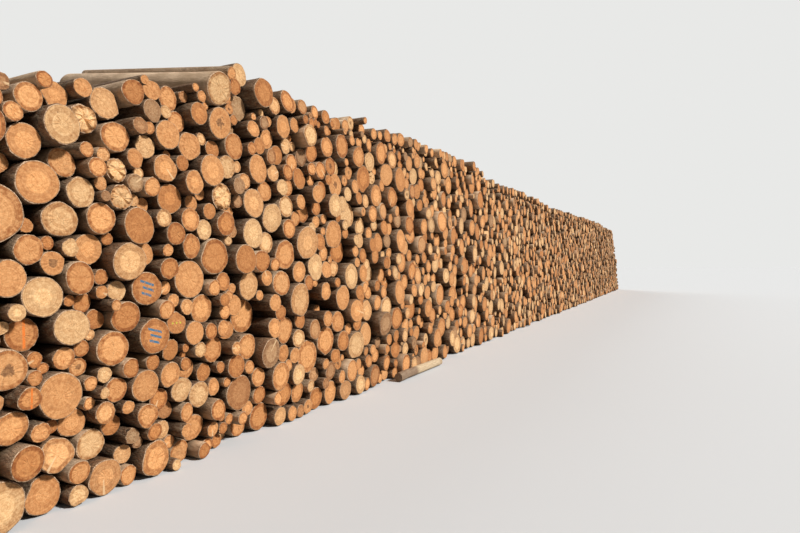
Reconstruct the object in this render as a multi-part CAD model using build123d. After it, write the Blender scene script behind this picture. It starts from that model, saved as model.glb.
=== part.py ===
from build123d import *
import math
import os
import random

# A roadside stack of softwood logs. All logs lie level across the stack, butt to the front.
# Lengths are in millimetres. "Along" is measured from the near end of the stack to its far end,
# "front" is the side of the sawn ends that face the road, and heights are above the ground.

# The stack
log_length = 2000
length_spread = 25
end_stagger = 90
far_recess = 200
recessed_share = 0.05
seat_gap = 0.3

# Round wood
middle_diameter = 160
diameter_spread = 0.34
least_diameter = 74
greatest_diameter = 330

# Widest turn in degrees between two corners of a log's section, for logs above a radius
corner_turns = [(110, 58), (70, 70), (0, 84)]

# Crest of the stack: along, height
crest = [
    (0, 0),
    (2430, 2700),
    (3100, 2900),
    (3900, 3080),
    (4300, 3260),
    (6300, 3420),
    (8900, 3530),
    (11750, 3640),
    (11900, 3470),
    (15700, 3520),
    (19300, 3480),
    (25000, 3680),
    (31900, 3850),
    (38300, 3800),
    (40400, 2300),
    (42600, 0),
]

# The hidden logs inside the stack, as one plain body in bays
core_setback = 60
core_near_foot = 4150
core_near_top = 4600
cover = 165
core_far_foot = 42200
bump_spacing = 330
bump_height = 65
hidden_bays = 7
top_bays = 8
near_bays = 5

# Large logs that give the near end its look: along, height of the middle, diameter
landmark_logs = [
    (2550, 160, 330),
    (2740, 70, 260),
    (3110, 90, 260),
    (3470, 220, 280),
    (3900, 300, 230),
    (2810, 450, 250),
    (3080, 350, 220),
    (2480, 610, 220),
    (3930, 540, 220),
    (3670, 610, 210),
    (2850, 810, 320),
    (3440, 760, 240),
    (2610, 1150, 220),
    (3260, 1040, 250),
    (3540, 1070, 280),
    (2850, 1220, 260),
    (4040, 1290, 250),
    (3270, 1310, 250),
    (2650, 1420, 280),
    (3530, 1430, 280),
    (2920, 1510, 230),
    (3280, 1710, 280),
    (3030, 1740, 220),
    (2650, 1790, 200),
    (3950, 1830, 220),
    (2480, 1890, 390),
    (3490, 1910, 290),
    (2850, 1930, 250),
    (3060, 2040, 230),
    (2650, 2080, 290),
    (3690, 2150, 250),
    (4150, 2240, 250),
    (2580, 2330, 230),
    (2880, 2380, 210),
    (3630, 2470, 230),
    (3220, 2500, 240),
    (4090, 2500, 270),
    (2720, 2560, 260),
    (3800, 2640, 240),
    (4340, 2680, 250),
    (3200, 2740, 240),
    (2900, 2780, 200),
    (4120, 2850, 290),
    (3780, 2990, 200),
    (4500, 3080, 240),
    (4510, 3320, 220),
    (4720, 3200, 280),
    (5120, 3230, 230),
]
landmark_reach = 110
wide_landmark_reach = 275

# Two logs on top of the near end that rise to the back: along, height, diameter
long_top_log = (4140, 3130, 290)
rough_top_log = (long_top_log[0] + 120, long_top_log[1] + 225, 118)
raised_pitch = 8
raised_front = -60
raised_seat_front = -40
raised_reach = 230
raised_neighbour_gap = 60
prop_diameter = 140

# A bare stem left on the ground along the foot of the stack
stem_along = 7450
stem_length = 1500
stem_diameter = 130

# Search
column = 60
search_reach = 420
overshoot = 70
least_room = 105
seed = 50

chance = random.Random(seed)
FLOOR = "floor"


class Log:
    """A round log across the stack, with the lines along which it touches its neighbours."""

    def __init__(self, along, height, radius):
        self.along = along
        self.height = height
        self.radius = radius
        self.seats = []
        self.front = 0
        self.supports = []


def height_on(line, along):
    """Height of a line of (along, height) points at a place along the stack."""
    for (a, low), (b, high) in zip(line, line[1:]):
        if a <= along <= b:
            return low + (high - low) * (along - a) / (b - a)
    return 0


def core_backbone():
    """The smooth upper line of the hidden logs, from the near foot to the far foot."""
    top = [(a, h - cover) for a, h in crest if a > core_near_top and a < crest[-2][0]]
    start = (core_near_top, height_on(crest, core_near_top) - cover)
    slope_cover = cover * 1.3
    shoulder = (crest[-2][0] - slope_cover, crest[-2][1] - cover)
    return [(core_near_foot, 0), start, *top, shoulder, (core_far_foot, 0)]


def bumpy(line):
    """The line in short lengths whose joints stand in and out, as rows of logs do."""
    points = [line[0]]
    for (a, low), (b, high) in zip(line, line[1:]):
        run = math.dist((a, low), (b, high))
        steps = max(1, round(run / bump_spacing))
        for step in range(1, steps + 1):
            share = step / steps
            out = chance.uniform(-bump_height, bump_height)
            along = a + (b - a) * share - (high - low) / run * out
            height = low + (high - low) * share + (b - a) / run * out
            points.append((along, height))
    points[-1] = line[-1]
    return points


core_line = bumpy(core_backbone())
core_sides = list(zip(core_line, core_line[1:]))


def inside_core(along, height):
    """Whether a place lies inside the outline of the hidden logs."""
    crossings = 0
    for (a, low), (b, high) in core_sides:
        if (low > height) != (high > height):
            if along < a + (b - a) * (height - low) / (high - low):
                crossings += 1
    return crossings % 2 == 1


def nearest_on_side(side, along, height):
    """The point of a straight side that is nearest to a place."""
    (a, low), (b, high) = side
    run_along = b - a
    run_up = high - low
    share = ((along - a) * run_along + (height - low) * run_up) / (run_along**2 + run_up**2)
    share = min(1, max(0, share))
    return a + run_along * share, low + run_up * share


def ring_meets_ring(first, second):
    """Places at a set distance from two points, each given as (along, height, distance)."""
    (ax, az, ar), (bx, bz, br) = first, second
    apart = math.dist((ax, az), (bx, bz))
    if apart == 0 or apart > ar + br or apart < abs(ar - br):
        return []
    share = (ar**2 - br**2 + apart**2) / (2 * apart)
    rise = math.sqrt(max(0, ar**2 - share**2))
    ux = (bx - ax) / apart
    uz = (bz - az) / apart
    middle = (ax + ux * share, az + uz * share)
    return [
        (middle[0] - uz * rise, middle[1] + ux * rise),
        (middle[0] + uz * rise, middle[1] - ux * rise),
    ]


def ring_meets_side(ring, side, distance):
    """Places at a set distance from a point and from the outer face of a straight side."""
    x, z, radius = ring
    (a, low), (b, high) = side
    run = math.dist((a, low), (b, high))
    ux = (b - a) / run
    uz = (high - low) / run
    start = (a - uz * distance, low + ux * distance)
    share = (x - start[0]) * ux + (z - start[1]) * uz
    off = math.dist((x, z), (start[0] + ux * share, start[1] + uz * share))
    if off > radius:
        return []
    half = math.sqrt(radius**2 - off**2)
    return [(start[0] + ux * (share + way), start[1] + uz * (share + way)) for way in (-half, half)]


def side_meets_side(first, second, distance, other_distance):
    """The place at set distances from the outer faces of two straight sides."""
    lines = []
    for ((a, low), (b, high)), distance in ((first, distance), (second, other_distance)):
        run = math.dist((a, low), (b, high))
        ux = (b - a) / run
        uz = (high - low) / run
        lines.append((a - uz * distance, low + ux * distance, ux, uz))
    (ax, az, aux, auz), (bx, bz, bux, buz) = lines
    cross = aux * buz - auz * bux
    if abs(cross) < 1e-6:
        return []
    share = ((bx - ax) * buz - (bz - az) * bux) / cross
    return [(ax + aux * share, az + auz * share)]


class Stack:
    """The logs laid so far, the free surface above them and the large logs still to come."""

    def __init__(self):
        self.logs = []
        count = round(crest[-1][0] / column)
        self.surface = [height_on(core_line, (i + 0.5) * column) for i in range(count)]
        self.blocked = [False] * count
        self.waiting = sorted(landmark_logs, key=lambda mark: mark[1])

    def logs_near(self, along, reach):
        return [log for log in self.logs if abs(log.along - along) < reach]

    def free(self, along, height, radius, near, sides):
        """Whether a log fits at a place without cutting into anything."""
        if height < radius - 1e-6:
            return False
        for log in near:
            if math.dist((along, height), (log.along, log.height)) < log.radius + radius + seat_gap - 1e-6:
                return False
        for side in sides:
            point = nearest_on_side(side, along, height)
            if math.dist((along, height), point) < radius + seat_gap - 1e-6:
                return False
        return not inside_core(along, height)

    def places(self, along, radius, reach):
        """Every stable place for a log near a position along the stack, with what holds it."""
        first = max(0, int((along - reach - radius) / column))
        last = int((along + reach + radius) / column) + 1
        depth = min(self.surface[first:last], default=0) - 2 * greatest_diameter
        near = [log for log in self.logs_near(along, reach + greatest_diameter + radius)
                if log.height > depth]
        wide = reach + 2 * radius + bump_spacing
        sides = [side for side in core_sides if side[0][0] < along + wide and side[1][0] > along - wide]
        holders = [("log", log, (log.along, log.height, log.radius + radius + seat_gap)) for log in near
                   if abs(log.along - along) < reach + radius + log.radius
                   and log.height > depth + greatest_diameter]
        corners = {point for side in sides for point in side}
        holders += [("corner", point, (*point, radius + seat_gap)) for point in sorted(corners)]
        holders += [("side", side, None) for side in sides]
        found = []
        for i, (kind, holder, ring) in enumerate(holders):
            meets = [("floor", FLOOR, place) for place in self.floor_places(kind, holder, ring, radius)]
            for other_kind, other, other_ring in holders[:i]:
                for place in self.meeting(kind, holder, ring, other_kind, other, other_ring, radius):
                    meets.append((other_kind, other, place))
            for other_kind, other, (x, z) in meets:
                if abs(x - along) > reach or z < depth + greatest_diameter:
                    continue
                contacts = [self.contact(kind, holder, x, z), self.contact(other_kind, other, x, z)]
                past_side = any(kind == "side" and math.dist(point, (x, z)) > radius + 2 * seat_gap
                                for kind, point in zip((kind, other_kind), contacts))
                if past_side or not self.held(contacts, x, z, radius, other_kind):
                    continue
                if self.free(x, z, radius, near, sides):
                    found.append((x, z, [(kind, holder), (other_kind, other)], contacts))
        return found

    def floor_places(self, kind, holder, ring, radius):
        floor_side = ((0, 0), (crest[-1][0], 0))
        if kind == "side":
            return side_meets_side(holder, floor_side, radius + seat_gap, radius)
        return ring_meets_side(ring, floor_side, radius)

    def meeting(self, kind, holder, ring, other_kind, other, other_ring, radius):
        distance = radius + seat_gap
        if kind == "side" and other_kind == "side":
            return side_meets_side(holder, other, distance, distance)
        if kind == "side":
            return ring_meets_side(other_ring, holder, distance)
        if other_kind == "side":
            return ring_meets_side(ring, other, distance)
        return ring_meets_ring(ring, other_ring)

    def contact(self, kind, holder, x, z):
        """Where a log at a place touches what holds it."""
        if kind == "log":
            return holder.along, holder.height
        if kind == "corner":
            return holder
        if kind == "floor":
            return x, 0
        return nearest_on_side(holder, x, z)

    def held(self, contacts, x, z, radius, other_kind):
        """A log is held by the ground, or by one support on each side of its middle."""
        (ax, az), (bx, bz) = contacts
        if other_kind == "floor":
            return True
        if az > z + 0.2 * radius or bz > z + 0.2 * radius:
            return False
        return min(ax, bx) < x < max(ax, bx)

    def lay(self, x, z, radius, supports, contacts):
        log = Log(x, z, radius)
        for (kind, holder), (touch_x, touch_z) in zip(supports, contacts):
            log.seats.append(math.atan2(touch_z - z, touch_x - x))
            if kind == "log":
                holder.seats.append(math.atan2(z - touch_z, x - touch_x))
                log.supports.append(holder)
        self.logs.append(log)
        first = max(0, int((x - radius) / column))
        last = min(len(self.surface) - 1, int((x + radius) / column))
        for i in range(first, last + 1):
            off = (i + 0.5) * column - x
            if abs(off) < radius:
                self.surface[i] = max(self.surface[i], z + math.sqrt(radius**2 - off**2))
        spread = round(search_reach / column)
        for i in range(max(0, first - spread), min(len(self.blocked), last + spread + 1)):
            self.blocked[i] = False
        return log

    def lay_landmark(self, reach):
        """Lays the first waiting large log that already has a stable place close to its own."""
        for mark in self.waiting:
            x, z, diameter = mark
            middle = min(len(self.surface) - 1, int(x / column))
            if self.surface[middle] < z - 1.6 * diameter:
                continue
            radius = diameter / 2
            found = self.places(x, radius, reach)
            found = [place for place in found if math.dist(place[:2], (x, z)) < reach]
            if found:
                place = min(found, key=lambda spot: math.dist(spot[:2], (x, z)))
                self.waiting.remove(mark)
                self.lay(place[0], place[1], radius, place[2], place[3])
                return True
        self.waiting = [m for m in self.waiting if self.surface[int(m[0] / column)] < m[1] + m[2]]
        return False

    def keeps_clear(self, x, z, radius):
        """Whether an ordinary log leaves room for the large logs still to come."""
        kept = [(m[0], m[1], 0.36 * m[2]) for m in self.waiting]
        kept += [(m[0], m[1], 0.5 * m[2]) for m in (long_top_log, rough_top_log)]
        return all(math.dist((x, z), (a, h)) > radius + room for a, h, room in kept)

    def lay_lowest(self):
        """Lays an ordinary log in the lowest part of the surface that is still under the crest."""
        open_columns = []
        for i, surface in enumerate(self.surface):
            room = height_on(crest, (i + 0.5) * column) - surface
            if room > least_room and not self.blocked[i]:
                open_columns.append((surface + chance.uniform(0, 90), i))
        if not open_columns:
            return False
        lowest = min(open_columns)[1]
        along = (lowest + 0.5) * column
        radius = random_radius()
        for attempt in range(3):
            found = []
            for place in self.places(along, radius, column * 2.5):
                top = place[1] + radius
                if top < height_on(crest, place[0]) + overshoot and self.keeps_clear(*place[:2], radius):
                    found.append(place)
            if found:
                place = min(found, key=lambda spot: spot[1])
                self.lay(place[0], place[1], radius, place[2], place[3])
                return True
            radius = max(least_diameter / 2, radius * 0.7)
        self.blocked[lowest] = True
        return True


def random_radius():
    diameter = chance.lognormvariate(math.log(middle_diameter), diameter_spread)
    return min(greatest_diameter, max(least_diameter, diameter)) / 2


def lay_stack():
    """Lays logs until the stack reaches its crest. A large log that nothing can hold is let go."""
    stack = Stack()
    while True:
        if stack.lay_landmark(landmark_reach) or stack.lay_lowest():
            continue
        if not stack.waiting:
            return stack
        if not stack.lay_landmark(wide_landmark_reach):
            stack.waiting.pop(0)
        stack.blocked = [False] * len(stack.blocked)


def lay_raised(stack, mark):
    """Lays a top log at the stable place nearest to its own, before it is pitched."""
    x, z, diameter = mark
    reach = raised_reach
    found = []
    while not found:
        found = stack.places(x, diameter / 2, reach)
        reach += raised_reach
    place = min(found, key=lambda spot: math.dist(spot[:2], (x, z)))
    return stack.lay(place[0], place[1], diameter / 2, place[2], place[3])


def lay_prop(stack, long_log, rough_log):
    """Lays the log that holds the raised ones up at the back, in the hollow below them."""
    stack.logs = [log for log in stack.logs if log not in (long_log, rough_log)]
    found = stack.places(long_log.along, prop_diameter / 2, raised_reach)
    place = min(found, key=lambda spot: math.dist(spot[:2], (long_log.along, long_log.height)))
    return stack.lay(place[0], place[1], prop_diameter / 2, place[2], place[3])


def corner_angles(log):
    """Angles of the corners of a log's section: its seats, and others evenly between them."""
    widest = math.radians(next(turn for radius, turn in corner_turns if log.radius > radius))
    seats = sorted(angle % math.tau for angle in log.seats)
    kept = [angle for i, angle in enumerate(seats) if i == 0 or angle - seats[i - 1] > 0.02]
    angles = []
    for i, angle in enumerate(kept):
        following = kept[(i + 1) % len(kept)]
        gap = (following - angle) % math.tau or math.tau
        steps = math.ceil(gap / widest)
        angles += [angle + gap * step / steps for step in range(steps)]
    return angles


def prism(points, front, length):
    """A level prism across the stack with the given section."""
    outline = Polyline(*[(x, front, z) for x, z in points], close=True)
    return extrude(make_face(outline), amount=length, dir=(0, 1, 0))


def log_solid(log, length):
    points = []
    for angle in corner_angles(log):
        x = log.along + log.radius * math.cos(angle)
        z = log.height + log.radius * math.sin(angle)
        points.append((x, z))
    return prism(points, log.front, length)


def round_bar(log, length):
    """A true round log, lying level."""
    middle = (log.along, log.front + length / 2, log.height)
    return Pos(*middle) * Rot(90, 0, 0) * Cylinder(log.radius, length)


def core_bays():
    """The hidden logs, cut into bays at joints of their upper line."""
    first = core_line[0][0]
    bay = (core_line[-1][0] - first) / hidden_bays
    cuts = []
    for number in range(hidden_bays + 1):
        cut = min(core_line, key=lambda point: abs(point[0] - first - number * bay))
        cuts.append(core_line.index(cut))
    bays = []
    for start, end in zip(cuts, cuts[1:]):
        points = core_line[start:end + 1]
        feet = [(x, 0) for x, z in (points[-1], points[0]) if z > 0]
        bays.append(prism([*points, *feet], core_setback, log_length - 2 * core_setback))
    return bays


def stagger(logs):
    """Sets where the front end of each log stands."""
    for log in logs:
        log.front = max(-end_stagger, min(end_stagger, chance.gauss(0, end_stagger / 2)))
        if chance.random() < recessed_share:
            log.front += chance.uniform(0, far_recess - end_stagger)


def clear_raised_seat(logs, raised):
    """Brings the logs under the raised logs level with the line on which those turn."""
    for top in raised:
        for log in logs:
            gap = math.dist((log.along, log.height), (top.along, top.height)) - log.radius - top.radius
            if gap < raised_neighbour_gap:
                log.front = max(log.front, raised_seat_front)
        for log in top.supports:
            log.front = raised_seat_front


def raise_back(bar, seat_height):
    """Turns a level bar up at the back about the line on which the raised logs rest."""
    seat = Axis((0, raised_seat_front, seat_height), (1, 0, 0))
    return bar.rotate(seat, raised_pitch)


def prop_front(long_log, prop, seat_height):
    """Where the underside of the raised log has risen clear of its prop."""
    slope = math.radians(raised_pitch)
    upright_radius = long_log.radius / math.cos(slope)
    reach = upright_radius + prop.radius + seat_gap
    clear_middle = prop.height + math.sqrt(reach**2 - (prop.along - long_log.along)**2)
    return raised_seat_front + (clear_middle - seat_height - upright_radius) / math.tan(slope)


def raised_parts(long_log, rough_log, prop):
    """The two raised logs, and the short log in the hollow below that holds them up at the back."""
    seat_height = long_log.height - long_log.radius
    parts = {}
    for name, log in (("long_top_log", long_log), ("rough_top_log", rough_log)):
        log.front = raised_front
        parts[name] = raise_back(round_bar(log, log_length), seat_height)
    prop.front = prop_front(long_log, prop, seat_height)
    parts["prop_log"] = round_bar(prop, log_length - prop.front)
    return parts


def grouped(logs):
    """Ordinary logs by node: short bays at the near end, long bays along the top."""
    near_bay = core_near_top / near_bays
    top_bay = (crest[-1][0] - core_near_top) / top_bays
    groups = {}
    for log in logs:
        if log.along < core_near_top:
            name = f"near_logs_{1 + int(log.along / near_bay):02d}"
        else:
            name = f"top_logs_{1 + int((log.along - core_near_top) / top_bay):02d}"
        groups.setdefault(name, []).append(log)
    return groups


def ordinary_parts(logs):
    parts = {}
    for name, members in sorted(grouped(logs).items()):
        lengths = [log_length + chance.uniform(-length_spread, length_spread) for log in members]
        parts[name] = Compound(children=[log_solid(log, size) for log, size in zip(members, lengths)])
    return parts


def foot_stem():
    """The bare stem, just clear of the furthest log ends."""
    middle = (stem_along + stem_length / 2, -end_stagger - stem_diameter / 2, stem_diameter / 2)
    return Pos(*middle) * Rot(0, 90, 0) * Cylinder(stem_diameter / 2, stem_length)


stack = lay_stack()
ordinary = list(stack.logs)
raised = [lay_raised(stack, mark) for mark in (long_top_log, rough_top_log)]
prop = lay_prop(stack, *raised)
stagger(ordinary)
clear_raised_seat(ordinary, raised)

parts = {f"hidden_logs_{i:02d}": bay for i, bay in enumerate(core_bays(), 1)}
parts.update(ordinary_parts(ordinary))
parts.update(raised_parts(*raised, prop))
parts["foot_stem"] = foot_stem()

boxes = [shape.bounding_box() for shape in parts.values()]
middle_along = (min(box.min.X for box in boxes) + max(box.max.X for box in boxes)) / 2
middle_across = (min(box.min.Y for box in boxes) + max(box.max.Y for box in boxes)) / 2
to_middle = Location((-middle_along, -middle_across, 0))
os.makedirs("parts", exist_ok=True)
for name, shape in parts.items():
    export_step(shape.moved(to_middle), f"parts/{name}.step")
print("logs", len(ordinary), "large logs left out", len(stack.waiting))
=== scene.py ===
import math
from functools import cache

import bmesh
import bpy
import numpy as np
from bpy.props import FloatProperty, FloatVectorProperty, PointerProperty
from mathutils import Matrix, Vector


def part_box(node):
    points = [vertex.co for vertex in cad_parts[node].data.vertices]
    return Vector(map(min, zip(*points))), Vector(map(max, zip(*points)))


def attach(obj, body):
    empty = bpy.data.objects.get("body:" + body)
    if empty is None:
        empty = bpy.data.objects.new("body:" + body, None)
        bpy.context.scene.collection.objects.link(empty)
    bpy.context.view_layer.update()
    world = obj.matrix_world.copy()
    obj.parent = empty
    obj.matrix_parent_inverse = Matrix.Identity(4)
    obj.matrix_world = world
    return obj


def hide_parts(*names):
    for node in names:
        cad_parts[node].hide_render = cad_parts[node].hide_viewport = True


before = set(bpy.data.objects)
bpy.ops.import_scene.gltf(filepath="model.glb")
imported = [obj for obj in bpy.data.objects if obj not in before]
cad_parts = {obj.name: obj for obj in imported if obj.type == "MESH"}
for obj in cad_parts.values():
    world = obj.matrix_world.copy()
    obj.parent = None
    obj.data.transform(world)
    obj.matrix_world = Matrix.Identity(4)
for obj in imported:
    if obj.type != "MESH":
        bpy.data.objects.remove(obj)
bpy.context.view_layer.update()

bl_info = {
    "name": "Stack of logs",
    "version": (1, 0, 0),
    "blender": (4, 5, 0),
    "location": "3D View > Sidebar > Logs",
    "description": "Round logs with sawn ends and bark, in a long stack on a plain stage",
    "category": "Object",
}

# Where the hidden logs' solid starts, in metres: along the foot of the stack and behind its front
CORE_NEAR_FOOT = 4.15
CORE_SETBACK = 0.06

# The camera: pixels of its picture and lens, its place in metres and its turn
PHOTO_WIDTH = 800
FOCAL_PIXELS = 560
SENSOR_WIDTH = 36
CAMERA_ALONG = 0.5
CAMERA_OFF_FRONT = 3.59
CAMERA_HEIGHT = 1.6
CAMERA_TURN = math.radians(26.15)
CAMERA_REACH = 2000

# Kinds of rays that show the background and the floor in their own colours
SEEN_RAYS = ("Camera", "Glossy", "Transmission")

# Lamps: name, strength, angle across in degrees, way that the light goes
LAMPS = [
    ("key", 4.0, 7, (-0.05, 0.79, -0.61)),
    ("fill", 1.25, 50, (-0.35, -0.75, -0.55)),
]
WORLD_STRENGTH = 0.24
BACKGROUND = (0.81, 0.813, 0.80)
FLOOR_RADIUS = 900
FLOOR_DROP = 0.002

# Large log ends of the middle of the front: along, height, diameter, in metres
LARGE_ENDS = [
    (5.14, 0.92, 0.29), (5.30, 1.41, 0.31), (5.59, 1.61, 0.32), (6.12, 1.91, 0.35),
    (4.90, 2.09, 0.30), (5.14, 1.87, 0.22), (4.72, 2.29, 0.23), (4.75, 2.66, 0.24),
    (4.62, 2.85, 0.25), (4.96, 2.88, 0.21), (4.60, 0.78, 0.25),
]

# Mesh of a log, by how far along the stack it lies: limit along, corners of its section and stops
# of its profile. A stop is (share of radius, way from the end), and the back end's stops start at
# the first way below 0.
CLOSE_PROFILE = [(0.3, 0), (0.58, 0), (0.82, 0), (0.945, 0), (0.985, 0.003), (1.0, 0.011),
                 (1.0, 0.07), (1.0, 0.25), (1.0, -0.012), (0.95, 0)]
NEAR_PROFILE = [(0.5, 0), (0.93, 0), (1.0, 0.009), (1.0, 0.12), (1.0, -0.01), (0.95, 0)]
MIDDLE_PROFILE = [(0.55, 0), (0.94, 0), (1.0, 0.012), (1.0, -0.012), (0.93, 0)]
FAR_PROFILE = [(0.93, 0), (1.0, 0.015), (1.0, -0.015), (0.93, 0)]
EVERYWHERE = 99.0
DETAIL = [
    (6.3, 32, CLOSE_PROFILE),
    (12.0, 24, NEAR_PROFILE),
    (22.0, 16, MIDDLE_PROFILE),
    (EVERYWHERE, 12, FAR_PROFILE),
]
RAISED_CORNERS = 40
STEM_CORNERS = 32

# How logs stray from round bars. Spreads come with their limits, in shares of the thickness.
TAPER = (0.05, 0.16)
PITH_OFFSET = (0.07, 0.2)
SWAY = 0.012
BARK_ROUGHNESS = 0.0018
CUT_ROUGHNESS = 0.0012
OUTLINE_WAVES = ((2, 1.1), (3, 0.7), (5, 0.4), (7, 0.25))
FLAT_SIDES = 0.25
NOTCHES = 0.1

# Torn ends: their share of the inner logs, height of their splinters and depth of their middle
BROKEN_SHARE = 0.012
SPLINTERS = 0.007
TORN_DEPTH = 0.014

# Packing, in metres: columns, room kept between logs, reach of a search, grid for the gaps
COLUMN = 0.06
ROOM = 0.0004
REACH = 0.17
GRID = 0.02
GAP_ROOM = 0.002
MOST_LOGS = 9000
PACKING_SEED = 7

# Seeds of the random draws, one for each piece from these on
SOLID_SEED = 100
RAISED_SEED = 200
INNER_SEED = 300
STEM_SEED = 400

# What a log's paint value says: bark deep inside the stack that gets painted shade, or the paint on a
# sawn end
SHADED_BARK = -1
BLUE_STROKES = 1
YELLOW_DOTS = 2
ORANGE_STRIPE = 3

# Special ends: along, height, and paint, whether it broke instead of being cut through, or tone from
# brown (0) over tan to cream (1)
SPECIAL_ENDS = {
    "paint": [
        (3.53, 1.43, BLUE_STROKES), (3.54, 1.07, BLUE_STROKES), (3.83, 1.16, YELLOW_DOTS),
        (2.61, 1.15, ORANGE_STRIPE), (2.64, 0.79, ORANGE_STRIPE)],
    "broken": [(3.32, 2.09, 1), (3.21, 2.27, 1), (3.04, 2.47, 1), (4.20, 2.10, 1)],
    "tone": [
        (2.48, 1.89, 0.80), (2.65, 1.42, 0.93), (2.85, 1.22, 0.90), (3.27, 1.71, 0.86),
        (2.85, 0.81, 0.60), (2.65, 2.08, 0.45), (2.58, 2.33, 0.50), (2.72, 2.56, 0.95),
        # The tones 0.10 and 0.15 at 3.49 and 3.69 m along are partly the ends' own brown and partly
        # painted shade that darkens them
        (3.20, 2.74, 0.85), (3.22, 2.50, 0.75), (3.49, 1.91, 0.10), (3.69, 2.15, 0.15),
        (4.12, 2.85, 0.40)],
}

# Strokes of blue paint in shares of the radius: height, middle, half of the length
STROKES = ((0.3, 0.0, 0.42), (0.0, 0.05, 0.34), (-0.32, -0.06, 0.3))
UNSET = -1.0
BROKEN_TONE = 0.93
PAINTED_TONE = 0.25

# Finish values of the three raised logs, between 0 and 1
RAISED_LOOKS = {"long_top_log": (0.3, 1.0, 0.25), "rough_top_log": (0.1, 0.84, 0.4),
                "prop_log": (0.2, 0.3, 0.5)}

# Fixed tints of bark and bare wood, and what knot collars and painted shade multiply a tint by
RED_BARK = (0.33, 0.16, 0.07)
PEELED_SHADE = (0.42, 0.26, 0.13)
CUT_BARK = (0.38, 0.23, 0.13)
COLLAR = (1.25, 1.15, 1.05)
# Painted shade: the bark of logs deep in the stack is multiplied by this, as the shade between logs
# would darken it
DEEP_SHADE = (0.36, 0.31, 0.26)
STREAKS = (0.40, 0.27, 0.15)
STEM_DIRT = (0.26, 0.17, 0.1)

# Fixed tints of sawn ends
FLECKS = (0.16, 0.09, 0.045)
CHECK_DARK = (0.07, 0.036, 0.018)
ROT_PALE = (0.30, 0.14, 0.055)
ROT_DARK = (0.12, 0.052, 0.022)
SPLIT_STRIP = (0.80, 0.55, 0.30)
RIM_DARK = (0.26, 0.145, 0.08)
RIM_PALE = (0.70, 0.47, 0.29)
CAMBIUM = (0.16, 0.075, 0.03)

# What rings, rays, stains and saw marks multiply the tint of a sawn end by
RINGS = (0.6, 0.48, 0.36)
BROAD_RINGS = (0.66, 0.52, 0.40)
BANDS = (0.70, 0.55, 0.42)
RAYS = (0.66, 0.52, 0.40)
FIBRE_SHADE = (0.87, 0.80, 0.74)
FIBRE_LIGHT = (1.10, 1.13, 1.18)
HEARTWOOD = (1.22, 1.24, 1.24)
SAP_STAIN = (0.56, 0.42, 0.31)
SOILING = (0.52, 0.44, 0.38)
SAW_MARKS = (1.15, 1.15, 1.15)

# How far the three random values of a log move its noise
LOOKS_SHIFT = (9.0, 7.0, 5.0)


def size(name, description, default, unit="LENGTH", subtype="NONE"):
    return FloatProperty(name=name, description=description, default=default, unit=unit, subtype=subtype)


def tint(name, description, default):
    return FloatVectorProperty(name=name, description=description, default=default, subtype="COLOR")


class LogSizes(bpy.types.PropertyGroup):
    middle_diameter: size("Middle diameter", "Diameter that half of the inner logs are under", 0.205)
    diameter_spread: size("Diameter spread", "How much inner logs differ in diameter", 0.33, "NONE")
    least_radius: size("Least radius", "Radius of the thinnest log", 0.040)
    filler_radius: size("Filler radius", "Radius of the thinnest log put into a gap", 0.050)
    greatest_radius: size("Greatest radius", "Radius of the thickest inner log", 0.185)
    stagger: size("Stagger", "How far inner logs stand in and out at the front", 0.047)
    log_length: size("Log length", "Length of an inner log", 2.0)
    end_tilt: size("End tilt", "Lean that few saw cuts pass", math.radians(5), "ROTATION", "ANGLE")
    roundness: size("Roundness", "Share of the radius by which outlines waver", 0.045, "NONE")


class LogColours(bpy.types.PropertyGroup):
    tan_end: tint("Tan end", "Fresh sawn end, orange tan", (0.74, 0.37, 0.145))
    cream_end: tint("Cream end", "Pale sawn end", (0.80, 0.51, 0.25))
    brown_end: tint("Brown end", "Older sawn end", (0.56, 0.245, 0.082))
    # Partly weathered wood and partly painted shade: the grey tone that some ends take at random
    weathered_and_shaded_end: tint("Grey end", "Grey sawn end, weathered and painted shade", (0.37, 0.235, 0.13))
    bark_grey: tint("Grey bark", "Scales of the bark", (0.31, 0.216, 0.136))
    bark_brown: tint("Brown bark", "Inner bark where scales have come off", (0.175, 0.09, 0.045))
    smooth_bark: tint("Smooth bark", "Pale smooth bark of some logs", (0.84, 0.60, 0.385))
    smooth_bark_dark: tint("Smooth bark blotches", "Darker blotches of smooth bark", (0.54, 0.36, 0.215))
    bark_dark: tint("Dark bark", "Cracks between scales", (0.035, 0.022, 0.014))
    bare_wood: tint("Bare wood", "Peeled wood", (0.66, 0.50, 0.31))
    blue_paint: tint("Blue paint", "Strokes on two sawn ends", (0.03, 0.16, 0.27))
    yellow_paint: tint("Yellow paint", "Dots on a sawn end", (0.50, 0.50, 0.05))
    orange_paint: tint("Orange paint", "Stripe on two sawn ends", (0.80, 0.20, 0.03))
    floor: tint("Floor", "Pale floor", (0.682, 0.683, 0.676))
    floor_light: tint("Light off the floor", "Light that the floor throws back", (0.32, 0.31, 0.30))


class Logs:
    """Logs as arrays: middle of the front end, length, radius, direction, paint, breakage and tone."""

    def __init__(self, fronts, lengths, radii, directions=(0, 1, 0), paint=0, broken=0, tone=UNSET):
        self.fronts = np.array(fronts)
        self.lengths = np.array(lengths)
        self.radii = np.array(radii)
        count = len(self.radii)
        self.directions = np.array(np.broadcast_to(directions, (count, 3)), float)
        self.paint, self.broken, self.tone = [
            np.array(np.broadcast_to(value, count), float) for value in (paint, broken, tone)]

    def __len__(self):
        return len(self.radii)

    def some(self, mask):
        return Logs(self.fronts[mask], self.lengths[mask], self.radii[mask], self.directions[mask],
                    self.paint[mask], self.broken[mask], self.tone[mask])


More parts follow.
